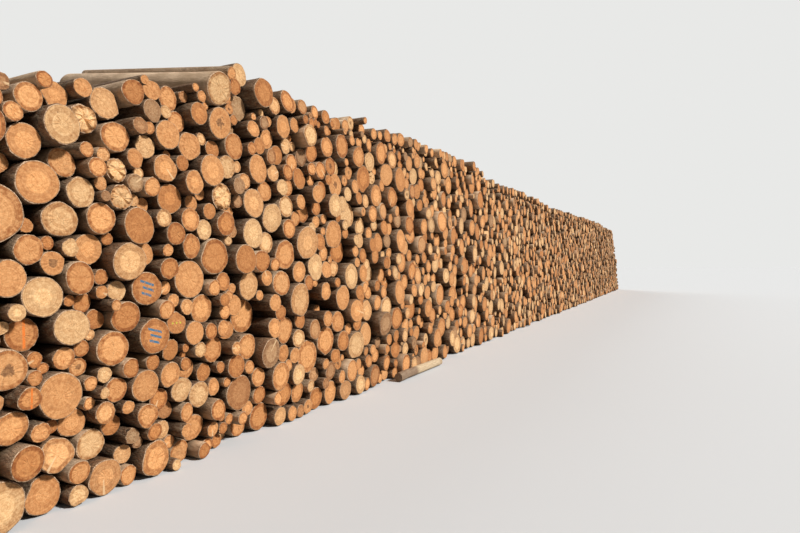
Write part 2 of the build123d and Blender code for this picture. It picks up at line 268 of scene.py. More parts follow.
def islands(node):
    """Sorted corner positions of each separate solid of a CAD node."""
    mesh = bmesh.new()
    mesh.from_mesh(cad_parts[node].data)
    bmesh.ops.remove_doubles(mesh, verts=mesh.verts, dist=1e-5)
    mesh.verts.index_update()
    seen = np.zeros(len(mesh.verts), bool)
    found = []
    for start in mesh.verts:
        if seen[start.index]:
            continue
        seen[start.index] = True
        front = [start]
        members = []
        while front:
            vertex = front.pop()
            members.append(tuple(vertex.co))
            for edge in vertex.link_edges:
                other = edge.other_vert(vertex)
                if not seen[other.index]:
                    seen[other.index] = True
                    front.append(other)
        found.append(np.array(sorted(members)))
    mesh.free()
    return found


def ring_fit(points):
    """Middle and radius of the circle through points of a plane."""
    rows = np.c_[2 * points, np.ones(len(points))]
    answer = np.linalg.lstsq(rows, (points**2).sum(1), rcond=None)[0]
    middle = answer[:2]
    return middle, math.sqrt(answer[2] + middle @ middle)


def solid_logs(node):
    """The level logs of a CAD node, sorted along the stack so that random draws stay the same."""
    fronts, lengths, radii = [], [], []
    for points in islands(node):
        low, high = points[:, 1].min(), points[:, 1].max()
        end = points[points[:, 1] < low + 0.001]
        middle, radius = ring_fit(end[:, [0, 2]])
        fronts.append((middle[0], low, middle[1]))
        lengths.append(high - low)
        radii.append(radius)
    logs = Logs(np.round(fronts, 4), np.round(lengths, 4), np.round(radii, 4))
    return logs.some(np.lexsort((logs.fronts[:, 2], logs.fronts[:, 0])))


def solid_bar(node, axis):
    """A round solid that lies in any direction, measured from its two ends."""
    points = islands(node)[0]
    way = points @ np.array(axis, float)
    middle = (way.min() + way.max()) / 2
    first, last = points[way < middle].mean(0), points[way >= middle].mean(0)
    direction = (last - first) / np.linalg.norm(last - first)
    length = np.ptp(points @ direction)
    front = first + direction * ((points @ direction).min() - first @ direction)
    radius = np.linalg.norm(np.cross(points - front, direction), axis=1).max()
    return Logs([front], [length], [radius], direction)


def nodes_named(start):
    return sorted(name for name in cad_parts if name.startswith(start))


HIDDEN_NODES = nodes_named("hidden_logs")
LEVEL_LOGS = {name: solid_logs(name) for name in nodes_named("near_logs") + nodes_named("top_logs")}


CORE = [tuple(vertex.co) for node in HIDDEN_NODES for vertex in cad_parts[node].data.vertices]

# The upper line of the hidden logs as (X, height), sorted by X
CORE_LINE = np.array(sorted({(round(x, 4), round(z, 4)) for x, _, z in CORE if z > 0.001}))

# X of the near end's zero and Y of the stack's front plane
ALONG_ZERO = min(x for x, _, z in CORE if z < 0.001) - CORE_NEAR_FOOT
FRONT_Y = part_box(HIDDEN_NODES[0])[0].y - CORE_SETBACK


def core_height(x):
    """Height of the hidden logs' upper line over a place along the stack, and 0 beyond its ends."""
    return np.interp(x, CORE_LINE[:, 0], CORE_LINE[:, 1], left=0, right=0)


def nearest_log(along, height):
    """The level log, with its place in its node, whose end is nearest to a place on the front."""
    found = []
    for logs in LEVEL_LOGS.values():
        away = np.hypot(logs.fronts[:, 0] - ALONG_ZERO - along, logs.fronts[:, 2] - height)
        away = away + np.where(logs.radii < 0.06, 0.2, 0)
        found.append((away.min(), len(found), logs, away.argmin()))
    return min(found)[2:]


def mark_shaded_logs():
    """Marks the level logs that more than two others cover, so that their bark gets painted shade."""
    everything = np.concatenate([logs.fronts[:, [0, 2]] for logs in LEVEL_LOGS.values()])
    for logs in LEVEL_LOGS.values():
        beside = np.abs(everything[None, :, 0] - logs.fronts[:, None, 0])
        above = everything[None, :, 1] - logs.fronts[:, None, 2]
        covering = (beside < logs.radii[:, None]) & (above > 0.05)
        logs.paint[covering.sum(1) > 2] = SHADED_BARK


def mark_special_ends():
    """Marks the painted and broken ends and those of a given tone."""
    for mark, ends in SPECIAL_ENDS.items():
        for along, height, value in ends:
            logs, index = nearest_log(along, height)
            getattr(logs, mark)[index] = value


class Packing:
    """Lays the inner logs, seen from the front, under and beside the logs that the solids give."""

    def __init__(self, sizes):
        self.sizes = sizes
        self.chance = np.random.default_rng(PACKING_SEED)
        rings = [np.c_[logs.fronts[:, [0, 2]], logs.radii] for logs in LEVEL_LOGS.values()]
        self.given = sum(len(each) for each in rings)
        self.rings = np.zeros((MOST_LOGS, 3))
        self.rings[:self.given] = np.concatenate(rings)
        self.count = self.given
        self.start = CORE_LINE[0][0] - 0.3
        self.columns = int((CORE_LINE[-1][0] - self.start) / COLUMN) + 2
        self.limit = core_height(self.start + (np.arange(self.columns) + 0.5) * COLUMN)
        self.surface = np.zeros(self.columns)
        self.blocked = np.zeros(self.columns, bool)
        self.waiting = [(ALONG_ZERO + along, height, across / 2) for along, height, across in LARGE_ENDS]

    def places(self, x, radius, floor):
        """Stable free places for a log near a column, as rows of X and height."""
        rings = self.rings[:self.count]
        wide = np.abs(rings[:, 0] - x) < REACH + 2 * radius + 0.2
        near = rings[wide & (rings[:, 1] > floor - 0.5)]
        reaches = near[:, 2] + radius + ROOM
        first, second = np.triu_indices(len(near), 1)
        distance = np.hypot(*(near[second, :2] - near[first, :2]).T)
        keep = distance < reaches[first] + reaches[second]
        first, second, distance = first[keep], second[keep], distance[keep]
        one, other = near[first, :2], near[second, :2]
        share = (reaches[first]**2 - reaches[second]**2 + distance**2) / (2 * distance)
        rise = np.sqrt(np.maximum(0, reaches[first]**2 - share**2))
        unit = (other - one) / distance[:, None]
        foot = one + unit * share[:, None]
        across = np.c_[-unit[:, 1], unit[:, 0]] * rise[:, None]
        spots = np.concatenate([foot + across, foot - across])
        low, high = np.tile((np.minimum(one, other), np.maximum(one, other)), (1, 2, 1))
        between = (spots[:, 0] > low[:, 0]) & (spots[:, 0] < high[:, 0])
        spots = spots[between & (high[:, 1] < spots[:, 1] + 0.3 * radius)]
        if floor < 0.05:
            left = reaches**2 - (near[:, 1] - radius)**2
            beside = np.sqrt(left[left > 0])
            middle = near[left > 0, 0]
            ground = np.c_[middle - beside, middle + beside].ravel()
            spots = np.concatenate([spots, np.c_[ground, np.full(len(ground), radius)]])
        spots = spots[(np.abs(spots[:, 0] - x) < REACH) & (spots[:, 1] >= radius - 1e-6)]
        gaps = np.hypot(spots[:, None, 0] - near[None, :, 0], spots[:, None, 1] - near[None, :, 1])
        free = (gaps > reaches[None, :] - 1e-5).all(1)
        return spots[free & (spots[:, 1] < core_height(spots[:, 0]))]

    def add(self, x, z, radius):
        """Adds a log and raises the surface of the columns that it reaches."""
        self.rings[self.count] = (x, z, radius)
        self.count += 1
        first = max(0, int((x - radius - self.start) / COLUMN))
        last = min(self.columns - 1, int((x + radius - self.start) / COLUMN))
        off = self.start + (np.arange(first, last + 1) + 0.5) * COLUMN - x
        top = z + np.sqrt(np.maximum(0, radius**2 - off**2))
        self.surface[first:last + 1] = np.maximum(self.surface[first:last + 1], top)
        self.blocked[max(0, first - 7):last + 8] = False

    def next_radius(self, x, surface):
        """The radius of a waiting large log whose place this is, or else a random one."""
        for mark in self.waiting:
            if abs(mark[0] - x) < 0.12 and abs(mark[1] - mark[2] - surface) < 0.12:
                self.waiting.remove(mark)
                return mark[2]
        spread = math.exp(self.chance.normal(0, self.sizes.diameter_spread))
        radius = self.sizes.middle_diameter * spread / 2
        return min(self.sizes.greatest_radius, max(self.sizes.least_radius, radius))

    def settle(self):
        """Fills the room from the ground up, the lowest column first."""
        least = self.sizes.least_radius
        while True:
            open_columns = ~self.blocked & (self.surface < self.limit - least)
            if not open_columns.any():
                return
            height = np.where(open_columns, self.surface, EVERYWHERE)
            index = int((height + self.chance.uniform(0, 0.09, self.columns)).argmin())
            x = self.start + (index + 0.5) * COLUMN
            radius = self.next_radius(x, self.surface[index])
            for shrink in (1, 0.7, 0.5, 0):
                size = max(least, radius * shrink)
                spots = self.places(x, size, self.surface[index])
                if len(spots):
                    spot = spots[spots[:, 1].argmin()]
                    self.add(spot[0], spot[1], size)
                    break
            else:
                self.blocked[index] = True

    def fill_gaps(self):
        """Puts thin logs into the gaps that are wide enough to hold one."""
        xs = np.arange(self.rings[:self.given, 0].min(), CORE_LINE[-1][0], GRID)
        zs = np.arange(0, CORE_LINE[:, 1].max() + 0.1, GRID)
        room = np.tile(zs, (len(xs), 1))
        rings = self.rings[:self.count]
        tops = [rings[np.abs(rings[:, 0] - x) < 0.12, 1].max(initial=0) for x in xs[::5]]
        room[zs[None, :] > np.interp(xs, xs[::5], tops)[:, None]] = 0
        for ring in rings:
            self.crowd(room, xs, zs, ring)
        while True:
            index = int(room.argmax())
            radius = room.flat[index] - GAP_ROOM
            if radius < self.sizes.filler_radius:
                return
            ring = (xs[index // len(zs)], zs[index % len(zs)], min(radius, self.sizes.greatest_radius))
            self.rings[self.count] = ring
            self.count += 1
            self.crowd(room, xs, zs, ring)

    def crowd(self, room, xs, zs, ring):
        """Lowers the free room round a log."""
        x, z, radius = ring
        reach = radius + self.sizes.greatest_radius + 0.02
        i = np.searchsorted(xs, (x - reach, x + reach))
        k = np.searchsorted(zs, (z - reach, z + reach))
        patch = np.hypot(xs[i[0]:i[1], None] - x, zs[None, k[0]:k[1]] - z) - radius
        view = room[i[0]:i[1], k[0]:k[1]]
        np.minimum(view, patch, out=view)

    def logs(self):
        """The laid logs, without those that the solids gave."""
        laid = self.rings[self.given:self.count]
        stand = self.chance.normal(0, self.sizes.stagger, len(laid)).clip(-0.095, 0.12)
        pushed = self.chance.random(len(laid)) < 0.06
        stand = stand + pushed * self.chance.uniform(0, 0.14, len(laid))
        fronts = np.c_[laid[:, 0], FRONT_Y + stand, laid[:, 1]]
        lengths = self.sizes.log_length + self.chance.uniform(-0.03, 0.03, len(laid))
        lengths -= np.maximum(0, stand - 0.1)
        broken = self.chance.random(len(laid)) < BROKEN_SHARE
        # Every inner log's bark gets painted shade behind its front end
        return Logs(fronts, lengths, laid[:, 2], paint=SHADED_BARK, broken=broken)


def outlines(count, corners, chance, waver):
    """Uneven round outlines, as shares of the radius that reach 1 at most."""
    angles = np.arange(corners) * math.tau / corners
    shape = np.ones((count, corners))
    for wave, weight in OUTLINE_WAVES:
        size = chance.normal(0, waver * weight * 0.6, (count, 1))
        shape += size * np.cos(wave * angles[None, :] + chance.uniform(0, math.tau, (count, 1)))
    side = chance.uniform(0, math.tau, (count, 1))
    flat = np.where(chance.random((count, 1)) < FLAT_SIDES, chance.uniform(0.84, 0.95, (count, 1)), 2)
    shape = np.minimum(shape, flat / np.maximum(np.cos(angles[None, :] - side), 0.05))
    notch = (chance.random((count, 1)) < NOTCHES) * chance.uniform(0.05, 0.16, (count, 1))
    turn = np.cos(angles[None, :] - chance.uniform(0, math.tau, (count, 1)))
    shape -= notch * np.exp(-((1 - turn) * 9)**2)
    return shape / shape.max(1, keepdims=True)


def finish_values(logs, chance, look):
    """Three values for each log that its finish follows, and the tone of its ends."""
    looks = chance.random((len(logs), 3)) if look is None else np.tile(look, (len(logs), 1))
    paler = ((logs.fronts[:, 0] - ALONG_ZERO - 6) / 6).clip(0, 1) * 0.16
    tone = np.where(logs.broken > 0, BROKEN_TONE, (chance.random(len(logs)) + paler).clip(0, 1))
    tone = np.where(logs.paint > 0, PAINTED_TONE, tone)
    given = logs.tone > UNSET
    looks[given, 0] *= 0.8
    return looks, np.where(given, logs.tone, tone)


def log_grid(logs, corners, profile, chance, sizes, look):
    """Corner places and finish values, 15 numbers for each, of logs that share one mesh plan."""
    count = len(logs)
    angles = np.arange(corners) * math.tau / corners
    shape = outlines(count, corners, chance, sizes.roundness)
    lean = chance.normal(0, math.tan(sizes.end_tilt) / 2.2, (count, 2, 2))
    taper = 1 - np.abs(chance.normal(0, TAPER[0], count)).clip(0, TAPER[1])
    sway = chance.uniform(-SWAY, SWAY, (count, 2))
    pith = chance.normal(0, PITH_OFFSET[0], (count, 2)).clip(-PITH_OFFSET[1], PITH_OFFSET[1])
    pith = pith * logs.radii[:, None]
    looks, tone = finish_values(logs, chance, look)
    splinters = chance.normal(0, 1, (count, corners))
    splinters = splinters + np.roll(splinters, 1, 1) + np.roll(splinters, 2, 1)
    across = np.cross(logs.directions, (0.0, 0.0, 1.0))
    across /= np.linalg.norm(across, axis=1, keepdims=True)
    upward = np.cross(across, logs.directions)
    first_back = [way < 0 for _, way in profile].index(True)
    rings = []

    def store(share, dx, dz, y, bend):
        """Keeps the places and the four finish values of one ring of corners."""
        shift = sway * bend[:, None]
        place = (logs.fronts[:, None, :] + across[:, None, :] * (dx + shift[:, :1])[..., None]
                 + upward[:, None, :] * (dz + shift[:, 1:])[..., None]
                 + logs.directions[:, None, :] * y[..., None])
        radius, shade, kind, *look = [
            np.broadcast_to(row[:, None], dx.shape) for row in (logs.radii, tone, logs.paint, *looks.T)]
        values = (dx - pith[:, :1], dz - pith[:, 1:], y, np.full(dx.shape, share), radius, shade,
                  kind, dx / radius, dz / radius, *look)
        rings.append(np.concatenate([place, np.stack(values, -1)], -1))

    for number, (share, way) in enumerate(profile):
        side = 1 if number >= first_back else 0
        base = logs.lengths + min(way, 0) if side else np.full(count, float(way))
        size = 1 - (1 - taper) * base / logs.lengths
        flat = shape * share * (logs.radii * size)[:, None]
        dx, dz = flat * np.cos(angles), flat * np.sin(angles)
        cut = dx * lean[:, side, :1] + dz * lean[:, side, 1:]
        bend = np.sin(math.pi * base / logs.lengths)
        if 0 < way < 0.2:
            rough = chance.normal(0, BARK_ROUGHNESS, dx.shape)
            dx, dz = dx * (1 + rough / logs.radii[:, None]), dz * (1 + rough / logs.radii[:, None])
        torn = logs.broken[:, None] * (1 - side)
        if 0.2 < share < 0.93:
            uneven = splinters + chance.normal(0, 1.1, cut.shape)
            cut = cut + chance.normal(0, CUT_ROUGHNESS, cut.shape)
            cut = cut + torn * (SPLINTERS * share * uneven - TORN_DEPTH * (1 - share))
        if 0.93 < share and way < 0.012 and not side:
            ragged = 1 + torn * chance.normal(-0.03, 0.05, dx.shape).clip(-0.14, 0)
            dx, dz = dx * ragged, dz * ragged
        store(share, dx, dz, base[:, None] + cut * (abs(way) < 0.05), bend)
    middle = np.zeros((count, 1))
    for base in (np.zeros(count), logs.lengths):
        store(0, middle, middle, base[:, None], np.zeros(count))
    return np.concatenate(rings, 1)


def log_faces(corners, profile):
    """The faces of one log: corners, how many each has, and whether it is sawn end (1) or bark (0)."""
    turn = np.arange(corners)
    following = (turn + 1) % corners
    middle = np.full(corners, len(profile) * corners)
    last = (len(profile) - 1) * corners
    faces = [np.c_[middle, turn, following]]
    sawn = [1]
    for row, (share, _) in enumerate(profile[:-1]):
        low, high = row * corners, (row + 1) * corners
        faces.append(np.c_[low + turn, high + turn, high + following, low + following])
        next_share = profile[row + 1][0]
        sawn.append(int(max(share, next_share) < 0.99 or next_share < share))
    faces.append(np.c_[middle + 1, last + following, last + turn])
    sawn.append(1)
    corner = np.concatenate([each.ravel() for each in faces])
    sides = np.repeat([each.shape[1] for each in faces], corners)
    return corner, sides, np.repeat(sawn, corners)


def log_mesh(name, groups, seed, look):
    """One joined mesh of logs. groups holds (logs, corners, profile)."""
    chance = np.random.default_rng(seed)
    sizes = bpy.context.scene.log_sizes
    grids, corners_of, starts, sawn = [], [], [], []
    base = 0
    loop = 0
    for logs, corners, profile in groups:
        grid = log_grid(logs, corners, profile, chance, sizes, look)
        one, sides, end = log_faces(corners, profile)
        order = np.arange(len(logs))[:, None]
        grids.append(grid.reshape(-1, 15))
        corners_of.append((one + base + order * grid.shape[1]).ravel())
        starts.append((np.cumsum(sides) - sides + loop + order * len(one)).ravel())
        sawn.append(np.tile(end, len(logs)))
        base += len(logs) * grid.shape[1]
        loop += len(logs) * len(one)
    vertices = np.concatenate(grids).astype(np.float32)
    corners_of, starts, sawn = [
        np.concatenate(rows).astype(np.int32) for rows in (corners_of, starts, sawn)]
    mesh = bpy.data.meshes.new(name)
    mesh.vertices.add(len(vertices))
    mesh.vertices.foreach_set("co", vertices[:, :3].ravel())
    mesh.loops.add(len(corners_of))
    mesh.loops.foreach_set("vertex_index", corners_of)
    mesh.polygons.add(len(starts))
    for title, rows in (("loop_start", starts), ("material_index", sawn), ("use_smooth", sawn == 0)):
        mesh.polygons.foreach_set(title, rows)
    for column, title in zip((3, 6, 9, 12), ("grain", "traits", "paint", "looks")):
        attribute = mesh.attributes.new(title, "FLOAT_VECTOR", "POINT")
        attribute.data.foreach_set("vector", vertices[:, column:column + 3].ravel())
    mesh.update(calc_edges=True)
    mesh.validate()
    return mesh


def split(logs, along, limits):
    """Splits logs at limits along the stack."""
    for low, high in zip((-EVERYWHERE, *limits), limits):
        yield logs.some((along >= low) & (along < high))


def by_detail(logs):
    """Splits logs by how far along the stack they lie, into groups that share a mesh plan."""
    limits, *plans = zip(*DETAIL)
    parts = split(logs, logs.fronts[:, 0] - ALONG_ZERO, limits)
    return [each for each in zip(parts, *plans) if len(each[0])]


def place(name, data):
    """Puts a mesh, lamp or camera into the scene."""
    thing = bpy.data.objects.new(name, data)
    bpy.context.scene.collection.objects.link(thing)
    return thing


def dress(node, groups, seed, look=None, finishes=("bark", "sawn_end")):
    """Makes the piece of logs that stands for a CAD node."""
    name = f"{node}_round"
    piece = place(name, log_mesh(name, groups, seed, look))
    for title in finishes:
        piece.data.materials.append(finish(title))
    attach(piece, "root")
    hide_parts(node)


def put(socket, value):
    """Links a value to a socket, or sets the socket to a number, vector or colour."""
    if isinstance(value, Value):
        socket.id_data.links.new(value.socket, socket)
    elif socket.type == "RGBA":
        socket.default_value = (*value, 1.0)
    else:
        socket.default_value = value


def add_node(tree, kind, inputs, **settings):
    """Adds a node, with its settings made and its inputs put."""
    node = tree.nodes.new(kind)
    for name, setting in settings.items():
        setattr(node, name, setting)
    for name, value in inputs.items():
        put(node.inputs[name], value)
    return node


def sums(operation):
    """The two ways round of a sum between a value and another value or number."""
    def forward(self, other):
        return self.math(operation, other)

    def backward(self, other):
        return self.math(operation, self, first=other)

    return forward, backward


class Value:
    """What an output of a node gives. Sums with it and calls on it add nodes to its tree."""

    __add__, __radd__ = sums("ADD")
    __sub__, __rsub__ = sums("SUBTRACT")
    __mul__, __rmul__ = sums("MULTIPLY")
    __truediv__, __rtruediv__ = sums("DIVIDE")

    def __init__(self, socket):
        self.socket = socket

    def node(self, kind, inputs, output=0, **settings):
        return Value(add_node(self.socket.id_data, kind, inputs, **settings).outputs[output])

    def math(self, operation, second=0.0, first=None, **settings):
        kind = "ShaderNodeMath" if self.socket.type == "VALUE" else "ShaderNodeVectorMath"
        inputs = {0: self if first is None else first, 1: second}
        return self.node(kind, inputs, operation=operation, **settings)

    def spread(self, low, high, to_low=0.0, to_high=1.0):
        """Spreads the range from low to high softly over another range."""
        inputs = {"Value": self, "From Min": low, "From Max": high, "To Min": to_low, "To Max": to_high}
        return self.node("ShaderNodeMapRange", inputs, interpolation_type="SMOOTHSTEP")

    def mix(self, first, second):
        """The second colour where this mask is 1, and the first where it is 0."""
        return self.node("ShaderNodeMix", {0: self, 6: first, 7: second}, 2, data_type="RGBA")

    def toned(self, colour, factor):
        """A colour multiplied by a factor where this mask is 1."""
        inputs = {0: 1.0, 6: colour, 7: factor}
        whole = self.node("ShaderNodeMix", inputs, 2, data_type="RGBA", blend_type="MULTIPLY")
        return self.mix(colour, whole)

    def noise(self, scale, detail=4.0, rough=0.55, distort=0.0, output="Fac"):
        inputs = {"Vector": self, "Scale": scale, "Detail": detail, "Roughness": rough,
                  "Distortion": distort}
        return self.node("ShaderNodeTexNoise", inputs, output)

    def cells(self, scale, output, feature="F1"):
        inputs = {"Vector": self, "Scale": scale}
        return self.node("ShaderNodeTexVoronoi", inputs, output, feature=feature)


def vector(x, y, z):
    return x.node("ShaderNodeCombineXYZ", {0: x, 1: y, 2: z})


def carried(tree, title):
    """What each corner of a log carries under a title, whole and as three numbers."""
    whole = Value(add_node(tree, "ShaderNodeAttribute", {}, attribute_name=title).outputs["Vector"])
    split = add_node(tree, "ShaderNodeSeparateXYZ", {0: whole})
    return whole, [Value(socket) for socket in split.outputs]


def dirt(place, blotch_size, amount):
    """Dust and stains: a mask of soft blotches and a mask of small specks."""
    above = place.noise(blotch_size, 5.0, 0.6) - (0.78 - amount * 0.4)
    specks = place.noise(190.0, 2.0, 0.5).spread(0.62, 0.72)
    return above.math("MULTIPLY", 5.0, use_clamp=True), specks


def radial_checks(across, up, share, chance, count):
    """Checks that run from the pith to the edge, as a mask."""
    wander = vector(across, up, chance * 40.0).noise(22.0, 3.0) - 0.5
    turned = up.math("ARCTAN2", across) * count + wander * 5.5
    wave = (turned + chance * 37.0).math("SINE").math("ABSOLUTE") / (0.035 / (share + 0.12))
    line = wave.math("SUBTRACT", wave, first=1.0, use_clamp=True)
    far = (across * across + up * up).math("SQRT") + 0.001
    ray = vector(across / far, up / far, chance * 90.0)
    return [line * ray.noise(1.7, 1.0).spread(0.5, 0.6) * share.spread(0.85, 0.6)]


def knots(place, per_metre):
    """Branch knots, far apart: a mask of their dark hearts and a mask of the collars round them."""
    away = place.cells(per_metre, "Distance") / per_metre + place.noise(70.0, 2.0) * 0.012
    return away.spread(0.024, 0.018), away.spread(0.046, 0.028)


def bark_scales(place, scale):
    """Bark scales: a colour share, a mask of the cracks between scales and a height."""
    stretched = place * (1.0, 1.0, 0.32)
    bent = stretched.noise(22.0, 6.0, 0.62, output="Color")
    pushed = stretched + (bent - (0.5, 0.5, 0.5)) * (0.08, 0.08, 0.08)
    edge = pushed.cells(scale, "Distance", "DISTANCE_TO_EDGE")
    shade = pushed.node("ShaderNodeSeparateColor", {0: pushed.cells(scale, "Color")})
    fine = stretched.noise(75.0, 5.0, 0.65)
    cracks = edge.spread(0.09, 0.0) * stretched.noise(9.0, 3.0).spread(0.36, 0.62, 0.25, 1.0)
    return shade * 0.42 + fine * 0.7, cracks, (edge * 4.0).math("MINIMUM", 1.0) + fine * 0.7


# Node groups: what fills each, its inputs with their defaults (None for a vector) and its outputs
GROUPS = {
    "Dirt and stains": (
        dirt, {"Place": None, "Blotch size": 12.0, "Amount": 0.5}, ("Blotches", "Specks")),
    "Radial checks": (
        radial_checks, {"Across": 0.0, "Up": 0.0, "Share of radius": 0.0, "Chance": 0.0, "Count": 5.0},
        ("Checks",)),
    "Bark scales": (bark_scales, {"Place": None, "Scale": 26.0}, ("Flakes", "Cracks", "Height")),
    "Knots": (knots, {"Place": None, "Per metre": 3.0}, ("Hearts", "Collars")),
}


@cache
def shared_group(title):
    """The node group of that name, built when it is first used."""
    fill, inputs, outputs = GROUPS[title]
    tree = bpy.data.node_groups.new(title, "ShaderNodeTree")
    for name, default in inputs.items():
        kind = "NodeSocketVector" if default is None else "NodeSocketFloat"
        socket = tree.interface.new_socket(name, in_out="INPUT", socket_type=kind)
        if default is not None:
            socket.default_value = default
    for name in outputs:
        tree.interface.new_socket(name, in_out="OUTPUT", socket_type="NodeSocketFloat")
    given = add_node(tree, "NodeGroupInput", {}).outputs
    results = fill(*[Value(given[name]) for name in inputs])
    add_node(tree, "NodeGroupOutput", dict(zip(outputs, results)))
    return tree


def use_group(tree, title, **inputs):
    """Puts a shared node group into a material, and gives its outputs by name."""
    node = add_node(tree, "ShaderNodeGroup", {}, node_tree=shared_group(title))
    for name, value in inputs.items():
        put(node.inputs[name.replace("_", " ")], value)
    return {socket.name: Value(socket) for socket in node.outputs}


def new_material(title):
    material = bpy.data.materials.new(title)
    material.use_nodes = True
    tree = material.node_tree
    tree.nodes.clear()
    shader = add_node(tree, "ShaderNodeBsdfPrincipled", {})
    add_node(tree, "ShaderNodeOutputMaterial", {0: Value(shader.outputs[0])})
    return material, tree, shader.inputs


def cover(surface, colour, roughness, gloss):
    """Gives a surface its colour, roughness and specular level."""
    put(surface["Base Color"], colour)
    put(surface["Roughness"], roughness)
    put(surface["Specular IOR Level"], gloss)


def bump(surface, height, strength, distance):
    inputs = {"Strength": strength, "Distance": distance, "Height": height}
    put(surface["Normal"], height.node("ShaderNodeBump", inputs))


def seen_rays(tree):
    """1 for rays of the camera and for those seen in gloss or through glass, 0 for those that light."""
    rays = add_node(tree, "ShaderNodeLightPath", {}).outputs
    camera, gloss, glass = [Value(rays[f"Is {kind} Ray"]) for kind in SEEN_RAYS]
    return camera.math("MAXIMUM", gloss).math("MAXIMUM", glass)


def bark_material(colours):
    """Grey-brown bark in scales, smooth and pale on some logs and peeled in patches on others, with
    painted shade on logs deep in the stack.
    """
    material, tree, surface = new_material("bark")
    grain, (_, _, way) = carried(tree, "grain")
    looks, (first, second, third) = carried(tree, "looks")
    moved = grain + looks * LOOKS_SHIFT
    scales = use_group(tree, "Bark scales", Place=moved, Scale=44.0)
    body = scales["Flakes"].spread(0.3, 0.8).mix(colours.bark_brown, colours.bark_grey)
    smooth = second.spread(0.7, 0.98)
    blotch = (moved * (1.0, 1.0, 0.4)).noise(11.0, 5.0, 0.6)
    tan = blotch.spread(0.35, 0.65).mix(colours.smooth_bark_dark, colours.smooth_bark)
    shown = third.spread(0.75, 1.0, 0.0, 0.5).mix((smooth * 0.92).mix(body, tan), RED_BARK)
    shown = (scales["Cracks"] * (0.8 - smooth * 0.68)).mix(shown, colours.bark_dark)
    dirty = use_group(tree, "Dirt and stains", Place=moved, Blotch_size=5.0, Amount=0.45)
    peeled = dirty["Blotches"] * first.spread(0.45, 0.8)
    shown = peeled.mix(shown, moved.noise(60.0).mix(colours.bare_wood, PEELED_SHADE))
    shown = (way.spread(0.03, 0.004) * 0.35).mix(shown, CUT_BARK)
    knot = use_group(tree, "Knots", Place=moved, Per_metre=3.0)
    shown = (knot["Collars"] * 0.5).toned(shown, COLLAR)
    shown = (knot["Hearts"] * 0.8).mix(shown, colours.bark_dark)
    _, (kind, _, _) = carried(tree, "paint")
    # Painted shade: bark of covered and inner logs darkens from 1 to 16 cm behind the front end, as
    # shade between logs would
    painted_shade = kind.spread(-0.4, -0.6) * way.spread(0.01, 0.16)
    cover(surface, painted_shade.toned(shown, DEEP_SHADE), 0.92, 0.25)
    height = scales["Height"] * (1.0 - peeled.math("MAXIMUM", smooth * 0.7))
    bump(surface, height + knot["Collars"] * 1.6 - knot["Hearts"], 0.9, 0.006)
    return material


def end_tones(tree, tone, colours):
    """The ground colour of a sawn end, from brown over tan to cream."""
    ramp = add_node(tree, "ShaderNodeValToRGB", {0: tone})
    stops = ((0.0, colours.brown_end), (0.2, colours.brown_end), (0.42, colours.tan_end),
             (0.78, colours.tan_end), (0.90, colours.cream_end), (1.0, colours.cream_end))
    elements = ramp.color_ramp.elements
    for position, _ in stops[1:-1]:
        elements.new(position)
    for element, (_, colour) in zip(elements, stops):
        element.color = (*colour, 1.0)
    return Value(ramp.outputs[0])


